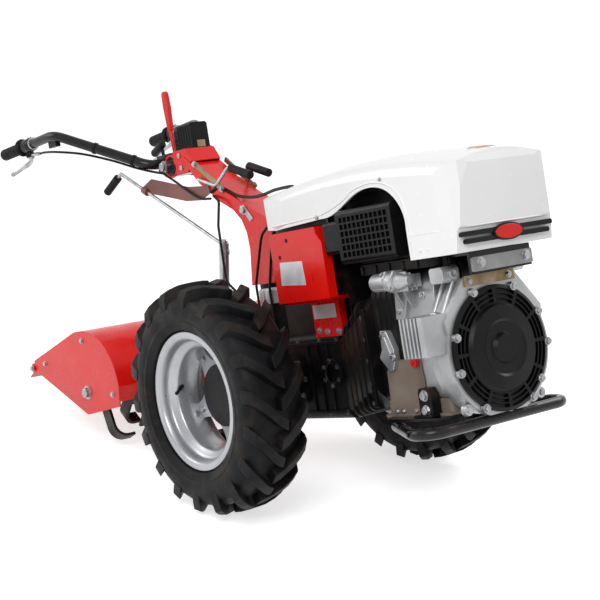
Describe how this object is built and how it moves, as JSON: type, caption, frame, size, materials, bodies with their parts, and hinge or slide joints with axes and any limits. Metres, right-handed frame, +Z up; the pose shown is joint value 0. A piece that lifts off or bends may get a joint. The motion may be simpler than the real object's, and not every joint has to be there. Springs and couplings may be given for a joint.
{
  "type": "walking tractor with rotary tiller",
  "caption": "Two-wheel walking tractor with lugged tyres, front engine under a hood, rear handlebar and rear tiller.",
  "frame": {"origin": "on the ground, under the centre of the whole machine's bounding box, as it stands parked on its wheels and depth skid", "axes": "+X forward to the bumper, +Y to the machine's left, +Z up"},
  "size_m": [1.891, 0.821, 0.9486],
  "materials": {
    "tyre": "matte",
    "rim_silver": "satin",
    "hub_black": "satin",
    "gearbox_black": "satin",
    "alloy": "satin",
    "plastic_black": "matte",
    "red_paint": "gloss",
    "hood_white": "gloss",
    "trim_black": "gloss",
    "frame_black": "gloss",
    "bracket_brown": "satin",
    "zinc_steel": "satin",
    "steel_bright": "polished",
    "grip_rubber": "matte",
    "red_plastic": "gloss",
    "cable_black": "satin",
    "blade_steel": "satin",
    "alloy_black": "satin"
  },
  "bodies": {
    "chassis": {"gearbox": "gearbox_black", "bell_housing": "alloy_black", "engine_block": "alloy", "sump": "alloy", "fan_housing": "alloy", "fan_cover": "plastic_black", "oil_cooler": "alloy", "starter_motor": "alloy", "hood": "hood_white", "hood_trim": "trim_black", "side_boxes": "red_paint", "side_brackets": "red_paint", "support_frame": "frame_black", "air_filter_box": "plastic_black", "air_filter_grille": "plastic_black", "front_bracket": "frame_black", "front_plates": "zinc_steel", "engine_base": "frame_black", "bumper": "frame_black", "column_foot": "gearbox_black", "column": "red_paint", "clamp_base": "frame_black", "pivot_bolt": "steel_bright", "control_box": "plastic_black", "shift_levers": "steel_bright", "shift_grips": "grip_rubber", "crank_bracket": "bracket_brown", "crank": "steel_bright", "crank_handle": "grip_rubber", "depth_screw": "steel_bright", "tiller_neck": "red_paint", "tiller_gear_case": "red_paint", "shield_top": "red_paint", "tiller_sides": "red_paint", "control_cables": "cable_black"},
    "wheel_right": {"tyre_right": "tyre", "rim_right": "rim_silver", "wheel_disc_right": "rim_silver", "wheel_hub_right": "hub_black"},
    "wheel_left": {"tyre_left": "tyre", "rim_left": "rim_silver", "wheel_disc_left": "rim_silver", "wheel_hub_left": "hub_black"},
    "handlebar": {"handlebar": "frame_black", "handlebar_hub": "frame_black", "grips": "grip_rubber", "hand_levers": "steel_bright", "red_lever": "red_plastic"},
    "depth_skid": {"depth_skid": "frame_black"},
    "tiller_rotor": {"tiller_rotor": "blade_steel"},
    "tiller_flap": {"tiller_flap": "red_paint"}
  },
  "joints": [
    {"name": "wheel_right_spin", "type": "hinge", "parent": "chassis", "child": "wheel_right", "pos_m": [0.26908, -0.3275, 0.285], "axis": [0, 1, 0], "continuous": true},
    {"name": "wheel_left_spin", "type": "hinge", "parent": "chassis", "child": "wheel_left", "pos_m": [0.26908, 0.3275, 0.285], "axis": [0, 1, 0], "continuous": true},
    {"name": "handlebar_height", "type": "hinge", "parent": "chassis", "child": "handlebar", "pos_m": [-0.37306, 0, 0.74964], "axis": [0, 1, 0], "range_deg": [-10, 12]},
    {"name": "depth_slide", "type": "slide", "parent": "chassis", "child": "depth_skid", "axis": [0, 0, 1], "range_m": [-0.05, 0.06]},
    {"name": "tiller_rotor_spin", "type": "hinge", "parent": "chassis", "child": "tiller_rotor", "pos_m": [-0.33247, 0, 0.15384], "axis": [0, 1, 0], "continuous": true},
    {"name": "tiller_flap_hinge", "type": "hinge", "parent": "chassis", "child": "tiller_flap", "pos_m": [-0.6456, 0, 0.15172], "axis": [0, 1, 0], "range_deg": [-45, 60]}
  ]
}
